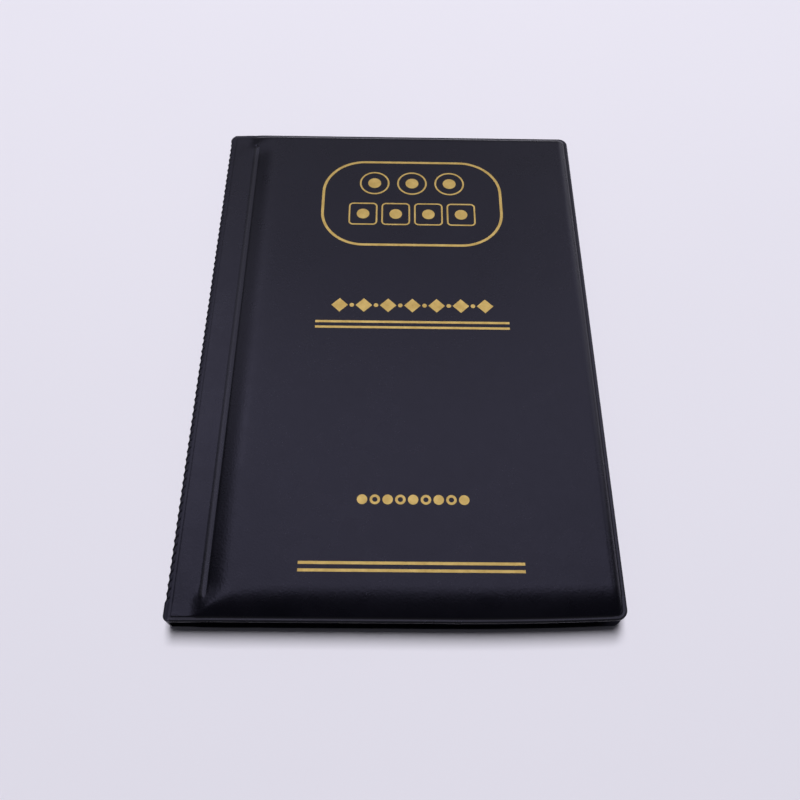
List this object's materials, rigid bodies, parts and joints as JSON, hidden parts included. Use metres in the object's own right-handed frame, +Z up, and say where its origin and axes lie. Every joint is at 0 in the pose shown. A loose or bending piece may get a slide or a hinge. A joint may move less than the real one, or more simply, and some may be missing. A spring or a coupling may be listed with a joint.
{
  "type": "pocket coin album",
  "caption": "Closed soft-cover coin album: padded vinyl covers and clear pocket leaves welded along a toothed spine edge, with a gold frame on the front.",
  "frame": {"origin": "middle of the closed album's bounding box in plan, on the surface that it lies on", "axes": "+X from the toothed spine edge to the opening edge, +Y along the spine towards the head, +Z up through the front cover"},
  "size_m": [0.125, 0.18, 0.0106],
  "materials": {
    "cover_vinyl": "black embossed vinyl with a fine leather grain, soft sheen",
    "lining_vinyl": "smooth black vinyl, satin",
    "welded_vinyl": "black vinyl pressed smooth by the weld, slightly glossier than the sheet",
    "gold_foil": "hot-stamped gold foil, satin",
    "leaf_backing": "black vinyl sheet, satin",
    "clear_film": "clear soft vinyl film, glossy, with pressed weld lines",
    "foam": "cream foam sheet",
    "card": "grey card"
  },
  "bodies": {
    "spine_and_back_cover": {"back_cover_skin": "cover_vinyl", "back_cover_foam": "foam", "back_cover_card": "card", "back_cover_lining": "lining_vinyl", "front_binding_strip": "cover_vinyl", "back_binding_strip": "cover_vinyl", "front_crease_rib": "cover_vinyl", "back_crease_rib": "cover_vinyl", "toothed_edge_weld": "welded_vinyl", "leaf_binding_margins": "leaf_backing"},
    "front_cover": {"front_cover_skin": "cover_vinyl", "front_cover_foam": "foam", "front_cover_card": "card", "front_cover_lining": "lining_vinyl", "foil_frame": "gold_foil", "foil_rules": "gold_foil", "foil_ornaments": "gold_foil"},
    "leaf_01": {"leaf_01_backing": "leaf_backing", "leaf_01_pocket_film": "clear_film"},
    "leaf_02": {"leaf_02_backing": "leaf_backing", "leaf_02_pocket_film": "clear_film"},
    "leaf_03": {"leaf_03_backing": "leaf_backing", "leaf_03_pocket_film": "clear_film"},
    "leaf_04": {"leaf_04_backing": "leaf_backing", "leaf_04_pocket_film": "clear_film"},
    "leaf_05": {"leaf_05_backing": "leaf_backing", "leaf_05_pocket_film": "clear_film"},
    "leaf_06": {"leaf_06_backing": "leaf_backing", "leaf_06_pocket_film": "clear_film"},
    "leaf_07": {"leaf_07_backing": "leaf_backing", "leaf_07_pocket_film": "clear_film"},
    "leaf_08": {"leaf_08_backing": "leaf_backing", "leaf_08_pocket_film": "clear_film"},
    "leaf_09": {"leaf_09_backing": "leaf_backing", "leaf_09_pocket_film": "clear_film"},
    "leaf_10": {"leaf_10_backing": "leaf_backing", "leaf_10_pocket_film": "clear_film"}
  },
  "joints": [
    {"name": "front_cover_turn", "type": "hinge", "parent": "spine_and_back_cover", "child": "front_cover", "pos_m": [-0.0525, 0, 0.0096], "axis": [0, -1, 0], "range_deg": [0, 178]},
    {"name": "leaf_01_turn", "type": "hinge", "parent": "spine_and_back_cover", "child": "leaf_01", "pos_m": [-0.0525, 0, 0.0096], "axis": [0, -1, 0], "range_deg": [0, 174.44]},
    {"name": "leaf_02_turn", "type": "hinge", "parent": "spine_and_back_cover", "child": "leaf_02", "pos_m": [-0.0525, 0, 0.0096], "axis": [0, -1, 0], "range_deg": [0, 169.99]},
    {"name": "leaf_03_turn", "type": "hinge", "parent": "spine_and_back_cover", "child": "leaf_03", "pos_m": [-0.0525, 0, 0.0096], "axis": [0, -1, 0], "range_deg": [0, 165.54]},
    {"name": "leaf_04_turn", "type": "hinge", "parent": "spine_and_back_cover", "child": "leaf_04", "pos_m": [-0.0525, 0, 0.0096], "axis": [0, -1, 0], "range_deg": [0, 161.09]},
    {"name": "leaf_05_turn", "type": "hinge", "parent": "spine_and_back_cover", "child": "leaf_05", "pos_m": [-0.0525, 0, 0.0096], "axis": [0, -1, 0], "range_deg": [0, 156.64]},
    {"name": "leaf_06_turn", "type": "hinge", "parent": "spine_and_back_cover", "child": "leaf_06", "pos_m": [-0.0525, 0, 0.0096], "axis": [0, -1, 0], "range_deg": [0, 21.36]},
    {"name": "leaf_07_turn", "type": "hinge", "parent": "spine_and_back_cover", "child": "leaf_07", "pos_m": [-0.0525, 0, 0.0096], "axis": [0, -1, 0], "range_deg": [0, 16.91]},
    {"name": "leaf_08_turn", "type": "hinge", "parent": "spine_and_back_cover", "child": "leaf_08", "pos_m": [-0.0525, 0, 0.0096], "axis": [0, -1, 0], "range_deg": [0, 12.46]},
    {"name": "leaf_09_turn", "type": "hinge", "parent": "spine_and_back_cover", "child": "leaf_09", "pos_m": [-0.0525, 0, 0.0096], "axis": [0, -1, 0], "range_deg": [0, 8.01]},
    {"name": "leaf_10_turn", "type": "hinge", "parent": "spine_and_back_cover", "child": "leaf_10", "pos_m": [-0.0525, 0, 0.0096], "axis": [0, -1, 0], "range_deg": [0, 3.56]}
  ],
  "couplings": [
    {"joint": "leaf_01_turn", "follows": "front_cover_turn", "ratio": 0.98},
    {"joint": "leaf_02_turn", "follows": "front_cover_turn", "ratio": 0.955},
    {"joint": "leaf_03_turn", "follows": "front_cover_turn", "ratio": 0.93},
    {"joint": "leaf_04_turn", "follows": "front_cover_turn", "ratio": 0.905},
    {"joint": "leaf_05_turn", "follows": "front_cover_turn", "ratio": 0.88},
    {"joint": "leaf_06_turn", "follows": "front_cover_turn", "ratio": 0.12},
    {"joint": "leaf_07_turn", "follows": "front_cover_turn", "ratio": 0.095},
    {"joint": "leaf_08_turn", "follows": "front_cover_turn", "ratio": 0.07},
    {"joint": "leaf_09_turn", "follows": "front_cover_turn", "ratio": 0.045},
    {"joint": "leaf_10_turn", "follows": "front_cover_turn", "ratio": 0.02}
  ]
}
